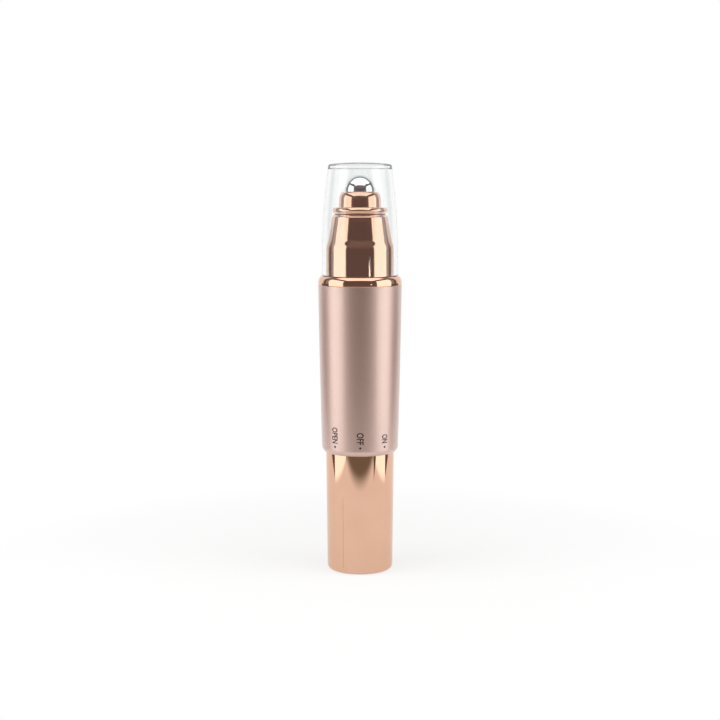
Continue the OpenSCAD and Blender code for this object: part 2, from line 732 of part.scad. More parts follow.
module motor_shaft() {
    color("#c8cbcf") disc(motor_z + 2.1, weight_z + weight_h + 0.6, shaft_r);
}

// Half of a disc, with a hub on the shaft; its heavy side points to +X
module eccentric_weight() {
    color("#8e8a84") difference() {
        union() {
            disc(weight_z, weight_z + weight_h, 1.6);
            intersection() {
                disc(weight_z, weight_z + weight_h, weight_r);
                translate([0, -weight_r, weight_z]) cube([weight_r, 2 * weight_r, weight_h]);
            }
        }
        disc(weight_z - over, weight_z + weight_h + over, shaft_r);
    }
}

// --- Ball and cap ---

module roller_ball() {
    color("#d3d6da") translate([0, 0, ball_z]) sphere(r = ball_r);
}

module cap() {
    n = 12;
    low = cap_z + cap_straight;
    side = [for (i = [0:n]) let (z = low + (cap_shoulder_z - low) * i / n) [cap_side(z), z]];
    top_r = cap_side(cap_shoulder_z) - cap_edge_r;
    crown = [for (i = [1:6]) let (t = 1 - i / 6) [top_r * t, cap_top_z - cap_crown * t * t]];
    inner_top = cap_ceiling_z - 1;
    inner_r = cap_side(inner_top) - cap_wall;
    inside = [for (i = [0:n]) let (z = inner_top - (inner_top - low) * i / n) [cap_side(z) - cap_wall, z]];
    color([0.93, 0.95, 0.96, 0.35]) turned(concat([[cap_r - cap_wall, cap_z], [cap_r, cap_z]], side,
        arc([top_r, cap_shoulder_z], cap_edge_r, 15, 90, 5), crown, [[0, cap_ceiling_z]],
        arc([inner_r - 1, inner_top], 1, 90, 15, 5), inside));
}

barrel_shell();
battery_tube();
seal_ring();
negative_strip();
battery_spring();
battery_cell();
selector_ring();
wiper();
detent_leaf();
sleeve();
bayonet_ring();
inner_frame();
contact_board();
switch_track();
positive_contact();
circuit_board();
board_parts();
motor_boot();
motor_can();
frame_screws();
collar_ring();
nozzle();
neck_gasket();
ball_ferrule();
ball_retainer();
heat_cup();
heater_ring();
thermistor();
heater_holder();
heater_wires();
motor_wires();
cell_wires();
motor_shaft();
eccentric_weight();
roller_ball();
cap();
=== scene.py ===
# %% [markdown]
# # A roll-on eye massager wand
#
# The wand stands on a white table inside a small light tent. From the bottom up
# it has a mirror-bright barrel, a satin sleeve with three printed switch
# positions, a mirror collar, a stepped mirror nozzle and a steel ball, all under
# a clear cap. The CAD model gives every size and every moving body. Here each
# piece that shows gets a smoother skin and a finish like the real one.

# %% Load the CAD frame
from math import acos, asin, atan2, cos, degrees, hypot, pi, radians, sin, sqrt

import bmesh
import bpy
from mathutils import Matrix, Vector


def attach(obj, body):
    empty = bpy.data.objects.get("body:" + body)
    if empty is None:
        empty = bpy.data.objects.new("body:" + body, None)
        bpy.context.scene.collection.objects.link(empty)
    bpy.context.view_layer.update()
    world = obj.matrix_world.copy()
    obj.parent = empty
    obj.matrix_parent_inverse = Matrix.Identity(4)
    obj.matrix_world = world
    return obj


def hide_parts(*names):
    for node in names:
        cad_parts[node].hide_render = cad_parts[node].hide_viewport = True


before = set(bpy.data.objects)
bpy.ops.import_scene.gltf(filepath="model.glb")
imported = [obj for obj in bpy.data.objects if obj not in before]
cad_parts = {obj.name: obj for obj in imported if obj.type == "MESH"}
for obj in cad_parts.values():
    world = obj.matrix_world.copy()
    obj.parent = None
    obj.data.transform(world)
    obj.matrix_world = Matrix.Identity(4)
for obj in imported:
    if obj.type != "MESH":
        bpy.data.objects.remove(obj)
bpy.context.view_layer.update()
MM = 0.001

# %% [markdown]
# ## The camera
#
# A long lens stands half a metre away, a little below the ball, and looks down by
# less than seven degrees. The angle was found from the ellipses of the collar and
# the base: the lower a ring is, the rounder its ellipse looks.

# %% Set up the camera
PICTURE_PIXELS, LENS_PIXELS = 720, 1432  # the picture's side and the focal length, in pixels
CAMERA_Y, CAMERA_Z, CAMERA_TILT = -0.474, 0.1262, 6.69  # metres, and degrees below level
camera = bpy.data.objects.new("camera", bpy.data.cameras.new("camera"))
bpy.context.scene.collection.objects.link(camera)
bpy.context.scene.camera = camera
camera.data.lens = camera.data.sensor_width * LENS_PIXELS / PICTURE_PIXELS
camera.location = (0, CAMERA_Y, CAMERA_Z)
camera.rotation_euler = (radians(90 - CAMERA_TILT), 0, 0)
print("lens:", round(camera.data.lens, 1), "mm")

# %% [markdown]
# ## Turned pieces
#
# Nearly every outer piece is turned on a lathe, so each one starts as half of its
# section: a flat face whose corners are (radius, height) pairs. Some corners are
# rounded while the section is still flat, which costs a few vertices instead of a
# few thousand. Then the outline is spun round the Z axis. Mirror metal shows every
# facet, so the spin takes many steps, and only corners that are really sharp stay
# sharp in the shading. Weighted normals let a long straight wall keep its own
# direction beside the small faces of a round.

# %% A lathe for half-sections
MERGE = 1e-7  # vertices closer than this are one, in metres
SHARP = 28  # an edge that turns by more degrees than this is shaded sharp


def lay_down(bm, name):
    """Turn a bmesh into an object at the origin, with faces that point outwards."""
    bmesh.ops.remove_doubles(bm, verts=bm.verts, dist=MERGE)
    bmesh.ops.recalc_face_normals(bm, faces=bm.faces)
    mesh = bpy.data.meshes.new(name)
    bm.to_mesh(mesh)
    bm.free()
    mesh.shade_smooth()
    mesh.set_sharp_from_angle(angle=radians(SHARP))
    piece = bpy.data.objects.new(name, mesh)
    bpy.context.scene.collection.objects.link(piece)
    piece.modifiers.new("straight walls", "WEIGHTED_NORMAL").keep_sharp = True
    print(f"{name}: {len(mesh.polygons)} faces")
    return piece


def lathe(outline, rounds={}, steps=240):
    """Spin a half-section, given in mm. rounds holds corner number: radius in mm."""
    bm = bmesh.new()
    corners = [bm.verts.new((r * MM, 0, z * MM)) for r, z in outline]
    bm.faces.new(corners)
    for number, radius in rounds.items():
        bmesh.ops.bevel(bm, geom=[corners[number]], offset=radius * MM, offset_type="OFFSET",
            segments=6, profile=0.5, affect="VERTICES", material=-1)
    bmesh.ops.delete(bm, geom=bm.faces[:], context="FACES_ONLY")
    on_axis = [e for e in bm.edges if all(abs(v.co.x) < 1e-9 for v in e.verts)]
    bmesh.ops.delete(bm, geom=on_axis, context="EDGES")
    bmesh.ops.spin(bm, geom=bm.verts[:] + bm.edges[:], cent=(0, 0, 0), axis=(0, 0, 1),
        angle=2 * pi, steps=steps, use_merge=True)
    return bm


def spread(start, end, count):
    """Evenly spaced values from start to end, with both of them included."""
    return [start + (end - start) * i / count for i in range(count + 1)]


def arc(r, z, radius, start, end, count=10):
    """Points of an arc in a half-section, from one angle to another, in degrees."""
    angles = [radians(a) for a in spread(start, end, count)]
    return [(r + radius * cos(a), z + radius * sin(a)) for a in angles]


def soft_edge(r, z, width, fall, count=24):
    """A quarter of an ellipse that rounds an upper corner, from the wall to the top."""
    turns = [radians(a) for a in spread(0, 90, count)]
    return [(r - width * (1 - cos(a)), z - fall * (1 - sin(a))) for a in turns]


def stand_for(piece, node, body):
    """The piece takes the place of a CAD node and moves with its body."""
    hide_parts(node)
    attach(piece, body)


# %% [markdown]
# ## The barrel
#
# The lower half is a drawn cup of aluminium, slightly slimmer at its foot. A
# shallow index groove runs up its front, left of the middle: it is what the
# printed positions are read against. The lathe steps are one and a half degrees,
# so five columns of faces are as wide as the groove, once the barrel is turned a
# little to bring a column under its middle. They are inset and pushed in, which
# leaves the mirror round them untouched, where a boolean would disturb it.

# %% Turn the barrel and press its groove
FOOT_R, BARREL_R, BARREL_WALL, BASE_ROUND = 10.98, 11.4, 1.2, 1.45
LIP_Z, RIM_Z, BASE_T = 40.0, 42.6, 1.8
GROOVE_AZ, GROOVE_LOW, GROOVE_HIGH, GROOVE_DEPTH = -33.5, 2.2, 26.2, 0.15
GROOVE_HALF, GROOVE_EDGE = 3.75, 0.06  # half its width in degrees, and its slope in mm
COLUMN_TURN = 0.25  # brings a column of faces under the groove's middle, in degrees
OUTER_WALL_R = 10.5  # a face further out than this is not on the inner wall


def barrel_side(z):
    return FOOT_R + (BARREL_R - FOOT_R) * max(0, min(1, (z - BASE_ROUND) / (LIP_Z - BASE_ROUND)))


rings = [GROOVE_LOW, 8, 16, GROOVE_HIGH, 32, LIP_Z, RIM_Z]  # edges of the rows of faces
bm = lathe([(0, 0)] + arc(FOOT_R - BASE_ROUND, BASE_ROUND, BASE_ROUND, -90, 0, 16)
    + [(barrel_side(z), z) for z in rings]
    + [(BARREL_R - BARREL_WALL, RIM_Z), (FOOT_R - BARREL_WALL, BASE_T), (0, BASE_T)])
bmesh.ops.rotate(bm, verts=bm.verts, matrix=Matrix.Rotation(radians(COLUMN_TURN), 3, "Z"))


def azimuth(point):
    """Degrees from the front, -Y, towards +X."""
    return degrees(atan2(point.x, -point.y))


groove = []
for face in bm.faces:
    middle = face.calc_center_median()
    across = abs(azimuth(middle) - GROOVE_AZ) < GROOVE_HALF
    along = GROOVE_LOW < middle.z / MM < GROOVE_HIGH
    if across and along and hypot(middle.x, middle.y) > OUTER_WALL_R * MM:
        groove.append(face)
bmesh.ops.inset_region(bm, faces=groove, thickness=GROOVE_EDGE * MM, depth=-GROOVE_DEPTH * MM,
    use_even_offset=True, use_boundary=True)
barrel = lay_down(bm, "barrel_mirror")
stand_for(barrel, "barrel_shell", "barrel")
print("groove of", len(groove), "faces")

# %% [markdown]
# ## The sleeve
#
# The sleeve is the long satin grip, wider at the top by a little more than a
# millimetre a side, with the faintest bow. Its lower edge rolls in towards the
# barrel. One function gives its side at any height, because the printed words
# have to lie on the same surface.

# %% Turn the sleeve
SLEEVE_TOP_Z, LEDGE_Z, SLEEVE_WALL, SLEEVE_BOW = 95.8, 45.4, 1, 0.4
SLEEVE_FOOT_R, COLLAR_R, LIP_BORE_R, LIP_ROUND = 12.66, 13.865, 11.55, 2.2
COLLAR_OVER = 0.01  # how far the collar stands out over the sleeve


def sleeve_side(z):
    t = (z - LIP_Z) / (SLEEVE_TOP_Z - LIP_Z)
    widening = COLLAR_R - COLLAR_OVER - SLEEVE_FOOT_R
    return SLEEVE_FOOT_R + widening * t + SLEEVE_BOW * t * (1 - t)


roll_r = sleeve_side(LIP_Z + LIP_ROUND) - LIP_ROUND
roll_z = LIP_Z + sqrt(LIP_ROUND**2 - (LIP_BORE_R - roll_r) ** 2)
roll_start = -degrees(acos((LIP_BORE_R - roll_r) / LIP_ROUND))
roll = arc(roll_r, roll_z, LIP_ROUND, roll_start, -6, 14)
side = [(sleeve_side(z), z) for z in spread(roll_z, SLEEVE_TOP_Z, 24)]
bore = [(sleeve_side(z) - SLEEVE_WALL, z) for z in (SLEEVE_TOP_Z, LEDGE_Z)]
top_corner = len(roll) + len(side) - 1
bm = lathe(roll + side + bore + [(LIP_BORE_R, LEDGE_Z)], {top_corner: 0.2})
sleeve = lay_down(bm, "sleeve_satin")
stand_for(sleeve, "sleeve", "handle")

# %% [markdown]
# ## The collar
#
# A polished ring closes the sleeve. Its upper edge is rounded over most of its
# height, which gathers the light of the whole ceiling into one lens of brightness.
# The round is a quarter of an ellipse, with as many points as a mirror needs.

# %% Turn the collar
COLLAR_TOP_Z, COLLAR_ROUND, COLLAR_FALL = 98.8, 1.5, 2.2
SKIRT_Z, SKIRT_IN = 93.8, 1.02  # the skirt's foot, and how far it lies in from the sleeve's side
NOZZLE_R, NOZZLE_GAP = 11.29, 0.05
PLATE_Z, PLATE_OUT, PLATE_ROOM = 95.0, 0.7, 1.5  # the room that holds the nozzle's plate
skirt_r = sleeve_side(SKIRT_Z) - SKIRT_IN
under_r, under_z = NOZZLE_R + PLATE_OUT, PLATE_Z + PLATE_ROOM
hole_r = NOZZLE_R + NOZZLE_GAP
outline = ([(under_r, SKIRT_Z), (skirt_r, SKIRT_Z), (skirt_r, SLEEVE_TOP_Z),
       (COLLAR_R, SLEEVE_TOP_Z)]
    + soft_edge(COLLAR_R, COLLAR_TOP_Z, COLLAR_ROUND, COLLAR_FALL)
    + [(hole_r, COLLAR_TOP_Z), (hole_r, under_z), (under_r, under_z)])
collar = lay_down(lathe(outline, {3: 0.12}), "collar_mirror")
stand_for(collar, "collar_ring", "handle")

# %% [markdown]
# ## The nozzle
#
# The nozzle carries the head. Half-way up it steps in over a soft S that runs
# straight into a taper, and it ends in a rounded shoulder and a short neck. The S
# is a cubic curve, level at its foot and as steep as the taper at its top: a mirror
# shows a kink even where the outline hardly turns. Three round screw bosses stand
# inside its foot.

# %% Turn the nozzle and add its screw bosses
NOZZLE_TOP_Z, STEP_Z, STEP_H, STEP_IN, DRAUGHT = 118.75, 107.6, 3.5, 0.88, 0.13
NECK_R, NECK_Z, SHOULDER_R, SHOULDER_Z, SHOULDER_ROUND = 8.7, 118.55, 9.2, 117.72, 0.9
PLATE_R, PLATE_T, NOZZLE_BORE_R, SOCKET_R = 11.89, 1.4, 9.79, 7.22
BOSS_R, BOSS_H, BOSS_RING_R = 1.65, 7, 8.94
step_r = NOZZLE_R - DRAUGHT
taper = (step_r - STEP_IN - SHOULDER_R) / (SHOULDER_Z - STEP_Z - STEP_H) * STEP_H
foot = [(PLATE_R, PLATE_Z), (PLATE_R, PLATE_Z + PLATE_T), (NOZZLE_R, PLATE_Z + PLATE_T),
    (NOZZLE_R, COLLAR_TOP_Z)]
step = [(step_r - STEP_IN * (3 - 2 * t) * t**2 + taper * (1 - t) * t**2, STEP_Z + STEP_H * t)
    for t in spread(0, 1, 20)]
shoulder = arc(SHOULDER_R - SHOULDER_ROUND, SHOULDER_Z, SHOULDER_ROUND, 8, 62, 12)
neck = [(NECK_R, NECK_Z), (NECK_R, NOZZLE_TOP_Z), (SOCKET_R, NOZZLE_TOP_Z)]
hollow = [(SOCKET_R, 117.35), (7.7, 116.75), (8.78, STEP_Z + STEP_H), (9.66, STEP_Z),
    (NOZZLE_BORE_R, COLLAR_TOP_Z), (NOZZLE_BORE_R, PLATE_Z)]
neck_top = len(foot + step + shoulder) + 1
bm = lathe(foot + step + shoulder + neck + hollow, {neck_top: 0.12})
for turn in (60, 180, 300):
    centre = Vector((BOSS_RING_R * sin(radians(turn)), -BOSS_RING_R * cos(radians(turn)),
        PLATE_Z + BOSS_H / 2)) * MM
    bmesh.ops.create_cone(bm, cap_ends=True, segments=32, radius1=BOSS_R * MM,
        radius2=BOSS_R * MM, depth=BOSS_H * MM, matrix=Matrix.Translation(centre))
nozzle = lay_down(bm, "nozzle_mirror")
stand_for(nozzle, "nozzle", "handle")

# %% [markdown]
# ## The gasket and the ferrule
#
# A dark silicone gasket lies a little in from the neck, under the flange, and shows
# as a hairline above the neck. Its dark brown also paints the shadow line there
# (painted shade). The ferrule is one bright turned piece: a flange with a blunt,
# sloping rim and a small dome on it.
# The dome's shoulder is a quarter of an ellipse, about twice as tall as it is wide,
# and it closes in softly over the ball.

# %% Turn the gasket and the ferrule
FERRULE_Z, SPIGOT_Z, SPIGOT_R, FERRULE_BORE_R, GASKET_R = 119.0, 115.5, 7.2, 6.1, 8.4
FLANGE_R, FLANGE_RIM_H, FLANGE_TOP_R, FLANGE_TOP_Z = 9.14, 1.2, 8.72, 121.2
DOME_R, DOME_TOP_Z, DOME_ROUND, DOME_FALL, DOME_ROOF = 7.05, 126.3, 1.6, 2.9, 0.6
DOME_DRAUGHT, SEAT_BEVEL, RETAINER_R, RETAINER_GAP = 0.1, 0.35, 5.2, 0.05
# The gasket's dark colour also paints the shadow line under the flange (painted shade).
gasket_and_shadow_line = lay_down(lathe([(SOCKET_R, NOZZLE_TOP_Z), (GASKET_R, NOZZLE_TOP_Z),
    (GASKET_R, FERRULE_Z), (SOCKET_R, FERRULE_Z)], {1: 0.08, 2: 0.08}), "gasket_silicone_and_shadow_line")
stand_for(gasket_and_shadow_line, "neck_gasket", "handle")

roof_z, mouth_r = DOME_TOP_Z - DOME_ROOF, RETAINER_R + RETAINER_GAP
outline = ([(FERRULE_BORE_R, SPIGOT_Z), (SPIGOT_R, SPIGOT_Z), (SPIGOT_R, FERRULE_Z),
       (GASKET_R, FERRULE_Z), (FLANGE_R, FERRULE_Z + FLANGE_RIM_H),
       (FLANGE_TOP_R, FLANGE_TOP_Z), (DOME_R, FLANGE_TOP_Z)]
    + soft_edge(DOME_R - DOME_DRAUGHT, DOME_TOP_Z, DOME_ROUND, DOME_FALL)
    + [(mouth_r, DOME_TOP_Z), (mouth_r, roof_z), (FERRULE_BORE_R - SEAT_BEVEL, roof_z),
       (FERRULE_BORE_R, roof_z - SEAT_BEVEL)])
ferrule = lay_down(lathe(outline, {3: 0.08, 4: 0.22, 5: 0.3, 6: 0.05}), "ferrule_mirror")
stand_for(ferrule, "ball_ferrule", "handle")

# %% [markdown]
# ## The retainer and the ball
#
# The steel ball is free to roll in any direction. A thin steel lip closes just
# above its widest part, so it cannot fall out. An icosphere has no poles, so the
# ball may be turned any way without a pinched spot in its reflection.

# %% Turn the retainer and make the ball
BALL_R, BALL_Z, BALL_GAP = 5.0, 126.75, 0.03
RETAINER_LOW, FLANGE_H, LIP_H, LIP_IN = 1.3, 0.7, 0.9, 0.1
RETAINER_FLANGE_R, FLANGE_BEVEL_R = 6.08, 5.73
seat = BALL_R + BALL_GAP
low = DOME_TOP_Z - RETAINER_LOW
tips = [asin(h / seat) for h in spread(low - BALL_Z, LIP_H, 10)]
inside = [(seat * cos(a), BALL_Z + seat * sin(a)) for a in tips]
outline = ([(RETAINER_FLANGE_R, low), (RETAINER_FLANGE_R, low + FLANGE_H / 2),
       (FLANGE_BEVEL_R, low + FLANGE_H), (RETAINER_R, low + FLANGE_H), (RETAINER_R, BALL_Z),
       (RETAINER_R - LIP_IN, BALL_Z + LIP_H)]
    + inside[::-1])
retainer = lay_down(lathe(outline), "retainer_steel")
stand_for(retainer, "ball_retainer", "handle")

bm = bmesh.new()
bmesh.ops.create_icosphere(bm, subdivisions=6, radius=BALL_R * MM,
    matrix=Matrix.Translation((0, 0, BALL_Z * MM)))
ball = lay_down(bm, "ball_steel")
stand_for(ball, "roller_ball", "ball")

# %% [markdown]
# ## The cap
#
# The cap is moulded in clear acrylic, as thick as a coin, with a heavier crowned
# top. Light bends where it enters and leaves, so the inside has to be modelled as
# carefully as the outside: the dark corners at its top come from the inner round.

# %% Turn the cap
CAP_R, CAP_Z, CAP_STRAIGHT, CAP_TOP_Z, CAP_WALL, CAP_TAPER = 12.63, 98.9, 5, 136.0, 1.2, 2.12
CAP_SHOULDER_Z, CAP_CEILING_Z, CAP_EDGE, CAP_CROWN, CAP_INNER_ROUND = 134.5, 133.8, 0.8, 0.7, 0.4


def cap_side(z):
    t = max(0, (z - CAP_Z - CAP_STRAIGHT) / (CAP_SHOULDER_Z - CAP_Z - CAP_STRAIGHT))
    return CAP_R - CAP_TAPER * t * t


low = CAP_Z + CAP_STRAIGHT
outer = [(cap_side(z), z) for z in spread(low, CAP_SHOULDER_Z, 24)]
top_r = cap_side(CAP_SHOULDER_Z) - CAP_EDGE
crown = [(top_r * (1 - t), CAP_TOP_Z - CAP_CROWN * (1 - t) ** 2) for t in spread(0, 1, 12)[1:]]
inner_top = CAP_CEILING_Z - CAP_INNER_ROUND
inner_r = cap_side(inner_top) - CAP_WALL
inner = [(cap_side(z) - CAP_WALL, z) for z in spread(inner_top, low, 24)]
outline = ([(CAP_R - CAP_WALL, CAP_Z), (CAP_R, CAP_Z)] + outer
    + arc(top_r, CAP_SHOULDER_Z, CAP_EDGE, 12, 86) + crown + [(0, CAP_CEILING_Z)]
    + arc(inner_r - CAP_INNER_ROUND, inner_top, CAP_INNER_ROUND, 90, 8) + inner)
cap = lay_down(lathe(outline, {0: 0.15, 1: 0.15}), "cap_acrylic")
stand_for(cap, "cap", "cap")

# %% [markdown]
# ## The printed positions
#
# OPEN, OFF and ON are printed round the sleeve, forty degrees apart. They read
# downwards, and a dot under each one points at the groove. A text object has no
# thickness and lies flat, so each word is first made a mesh and cut into small
# pieces. Then every point is carried onto the sleeve: the reading direction
# becomes the way down, and the height of the letters becomes an angle.

# %% Print the words and the dots
CAP_HEIGHT, INK = 2.35, 0.012  # height of the letters and thickness of the ink, in mm
DOT_Z, DOT_R = 43.0, 0.38
LETTER_WEIGHT = 0.026  # fattens the strokes, before the word is scaled to its size
LONGEST_EDGE = 0.4  # in mm; longer ones are cut, so that the word can bend
WORDS = {  # degrees round the sleeve, height of the first letter's start, length of the word
    "OPEN": (-40, 49.45, 5.3), "OFF": (0.3, 48.1, 3.95), "ON": (39.2, 47.2, 2.9)}


def wrap(bm, turn, top_z):
    """Carry a flat drawing in mm, x along the words and y up the letters, onto the sleeve."""
    for v in bm.verts:
        z = top_z - v.co.x
        r = sleeve_side(z) + INK
        angle = radians(turn) + v.co.y / r
        v.co = Vector((r * sin(angle), -r * cos(angle), z)) * MM


legends = []
for word, (turn, top_z, length) in WORDS.items():
    text = bpy.data.curves.new("text", "FONT")
    text.body = word
    text.resolution_u = 6
    text.offset = LETTER_WEIGHT
    holder = bpy.data.objects.new("text", text)
    bm = bmesh.new()
    bm.from_mesh(bpy.data.meshes.new_from_object(holder))
    bpy.data.objects.remove(holder)
    xs, ys = [v.co.x for v in bm.verts], [v.co.y for v in bm.verts]
    grow = Vector((length / (max(xs) - min(xs)), CAP_HEIGHT / (max(ys) - min(ys)), 1))
    bmesh.ops.translate(bm, verts=bm.verts, vec=(-min(xs), -(min(ys) + max(ys)) / 2, 0))
    bmesh.ops.scale(bm, verts=bm.verts, vec=grow)
    bmesh.ops.triangulate(bm, faces=bm.faces)
    long_edges = [e for e in bm.edges if e.calc_length() > LONGEST_EDGE]
    bmesh.ops.subdivide_edges(bm, edges=long_edges, cuts=3, use_grid_fill=True)
    bmesh.ops.create_circle(bm, cap_ends=True, segments=24, radius=DOT_R,
        matrix=Matrix.Translation((top_z - DOT_Z, 0, 0)))
    wrap(bm, turn, top_z)
    legends.append(lay_down(bm, "legend_" + word))
    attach(legends[-1], "handle")

# %% [markdown]
# ## Colours and nodes
#
# Colours are written as the hex values that an eyedropper gives. Blender works in
# linear light, so one function turns them over. One small function adds a node,
# sets it and links it, which keeps each material to a few lines.


# %% Helpers for materials
def colour(text):
    """A hex colour as linear red, green, blue and alpha."""
    parts = [int(text[i:i + 2], 16) / 255 for i in (1, 3, 5)]
    return [p / 12.92 if p <= 0.04045 else ((p + 0.055) / 1.055) ** 2.4 for p in parts] + [1]


def add(tree, kind, inputs={}, **settings):
    """Add a node; each input gets a value, or a link from another node's socket."""
    made = tree.nodes.new("ShaderNode" + kind)
    for name, value in settings.items():
        setattr(made, name, value)
    for name, value in inputs.items():
        if isinstance(value, bpy.types.NodeSocket):
            tree.links.new(value, made.inputs[name])
        else:
            made.inputs[name].default_value = value
    return made


def maths(tree, operation, *values):
    """One step of arithmetic on numbers or sockets; gives the socket of the answer."""
    return add(tree, "Math", dict(enumerate(values)), operation=operation).outputs[0]


def node_of(material, kind):
    """The first node of a kind, such as BSDF_PRINCIPLED, in a material."""
    return next(n for n in material.node_tree.nodes if n.type == kind)


def surface(name, shades, grain, rough, bump=0.0, **shader):
    """Two hex shades and two roughnesses drift over a grain in mm; bump is its height in mm."""
    material = bpy.data.materials.new(name)
    material.use_nodes = True
    tree = material.node_tree
    tree.nodes.clear()
    place = add(tree, "TexCoord").outputs["Object"]
    noise = add(tree, "TexNoise", {"Vector": place, "Scale": 1 / (grain * MM), "Detail": 3.0})
    low, high = 0.35, 0.65  # most of the noise lies between these
    ramp = add(tree, "ValToRGB", {"Fac": noise.outputs["Fac"]})
    for stop, shade, spot in zip(ramp.color_ramp.elements, shades, (low, high)):
        stop.color, stop.position = colour(shade), spot
    gloss = add(tree, "MapRange", {"Value": noise.outputs["Fac"], "From Min": low,
        "From Max": high, "To Min": rough[0], "To Max": rough[1]})
    skin = add(tree, "BsdfPrincipled", {"Base Color": ramp.outputs["Color"],
        "Roughness": gloss.outputs["Result"]})
    for socket, value in shader.items():
        skin.inputs[socket.replace("_", " ").title().replace("Ior", "IOR")].default_value = value
    if bump:
        height = add(tree, "Bump", {"Height": noise.outputs["Fac"], "Distance": bump * MM})
        tree.links.new(height.outputs["Normal"], skin.inputs["Normal"])
    add(tree, "OutputMaterial", {"Surface": skin.outputs["BSDF"]})
    return material


def paint(material, *pieces):
    """Put one material on pieces, or on CAD nodes given by name."""
    for piece in pieces:
        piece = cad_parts[piece] if isinstance(piece, str) else piece
        piece.data.materials.clear()
        piece.data.materials.append(material)
    print(material.name, "on", len(pieces))


# %% [markdown]
# ## The rose-gold metals
#
# Both finishes are anodised aluminium. The bright parts are polished first, so
# they mirror the studio and only tint it. The sleeve is blasted with fine grit
# first, which spreads each reflection into a soft band with a faint sparkle. The
# clear oxide over the grit is smoother than the metal, so it is drawn as a coat
# with a sheen of its own. The grit marks are about a tenth of a millimetre; they
# are drawn three times as coarse, so that they show at all in the picture.

# %% Finish the mirror metal and the satin metal
polished = surface("anodised aluminium, polished", ("#E3B79D", "#E0B499"), 9, (0.035, 0.055),
    metallic=1.0)
paint(polished, barrel, collar, nozzle, ferrule)

blasted = surface("anodised aluminium, blasted", ("#D7B8AC", "#D0B1A5"), 0.3, (0.45, 0.52), 0.012,
    metallic=1.0, coat_weight=1.0, coat_roughness=0.3, coat_ior=1.85)
paint(blasted, sleeve)

# %% [markdown]
# ## The steels
#
# A bearing ball is ground and lapped until it is almost a perfect mirror. The
# retainer's thin lip is polished with it, so that the two read as one. The
# screws, the springs and the motor's can are plated and duller.

# %% Finish the steel pieces
paint(surface("bearing steel, lapped", ("#ECEDEE", "#E6E8E9"), 4, (0.01, 0.025),
    metallic=1.0), ball)
paint(surface("stainless steel, polished", ("#E4E6E8", "#DCDEE1"), 0.4, (0.02, 0.05),
    metallic=1.0), retainer)
paint(surface("spring steel, nickel-plated", ("#BFC2C6", "#B0B3B8"), 1.5, (0.2, 0.3),
    metallic=1.0), "battery_spring", "detent_leaf", "motor_shaft")
paint(surface("drawn steel, nickel-plated", ("#B4B7BC", "#A5A8AE"), 2.5, (0.22, 0.32),
    metallic=1.0), "motor_can")
paint(surface("screw steel, zinc-plated", ("#9DA0A6", "#868A91"), 0.8, (0.25, 0.4), 0.003,
    metallic=1.0), "frame_screws")

# %% [markdown]
# ## The clear cap
#
# Acrylic bends light almost as much as window glass, so its IOR is 1.49. It is
# all but colourless. A solid of glass would cast a black shadow, because lamps
# are not traced through it, so rays that only ask whether a lamp is in sight pass
# straight through.

# %% Finish the cap
acrylic = surface("acrylic, moulded clear", ("#FBFCFC", "#F8FAFA"), 12, (0.0, 0.01),
    transmission_weight=1.0, ior=1.49)
tree = acrylic.node_tree
passing = add(tree, "MixShader", {0: add(tree, "LightPath").outputs["Is Shadow Ray"],
    1: node_of(acrylic, "BSDF_PRINCIPLED").outputs["BSDF"],
    2: add(tree, "BsdfTransparent").outputs["BSDF"]})
tree.links.new(passing.outputs["Shader"], node_of(acrylic, "OUTPUT_MATERIAL").inputs["Surface"])
paint(acrylic, cap)

# %% [markdown]
# ## Print and rubber
#
# The positions are pad-printed in dark brown ink, uneven by a shade. The gasket,
# the O-ring and the motor's boot are silicone rubber: dark, dull and slightly
# uneven too. The gasket's dark brown also paints the shadow line under the flange
# (painted shade).

# %% Finish the print and the rubber
paint(surface("pad-printing ink", ("#3A2822", "#2C1D18"), 0.25, (0.45, 0.6)), *legends)
# The gasket's brown is also the painted shadow line under the flange.
paint(surface("silicone rubber, brown, and shadow line", ("#3A2D29", "#2C2320"), 0.5, (0.5, 0.65), 0.01),
    gasket_and_shadow_line)
paint(surface("silicone rubber, black", ("#222224", "#19191B"), 0.5, (0.45, 0.6), 0.01),
    "seal_ring")
paint(surface("silicone rubber, grey", ("#414145", "#35353A"), 0.6, (0.5, 0.65), 0.01),
    "motor_boot")

# %% [markdown]
# ## The moulded plastics inside
#
# The battery tube is black nylon, the bayonet and the selector are slippery white
# acetal, the frame is grey ABS, and the heater's plug is a cream plastic that
# stands the heat. Moulded plastic takes the fine texture of its tool.

# %% Finish the plastic pieces
paint(surface("nylon, moulded black", ("#343437", "#29292C"), 0.35, (0.42, 0.55), 0.006),
    "battery_tube")
paint(surface("acetal, moulded white", ("#EDEAE3", "#E4E0D8"), 0.6, (0.3, 0.42), 0.004),
    "selector_ring", "bayonet_ring")
paint(surface("ABS, moulded grey", ("#45464A", "#3A3B3F"), 0.4, (0.45, 0.58), 0.006),
    "inner_frame")
paint(surface("heat-proof plastic, cream", ("#D9CFBB", "#CFC3AC"), 0.5, (0.4, 0.5), 0.004),
    "heater_holder")

# %% [markdown]
# ## The cell and the contacts
#
# The cell wears a thin shrunk sleeve in plain dark grey and shows bare metal at
# its two ends. The sleeve's own material paints both: the height of a point says
# whether it is wrap or metal. The contacts are stamped from brass.

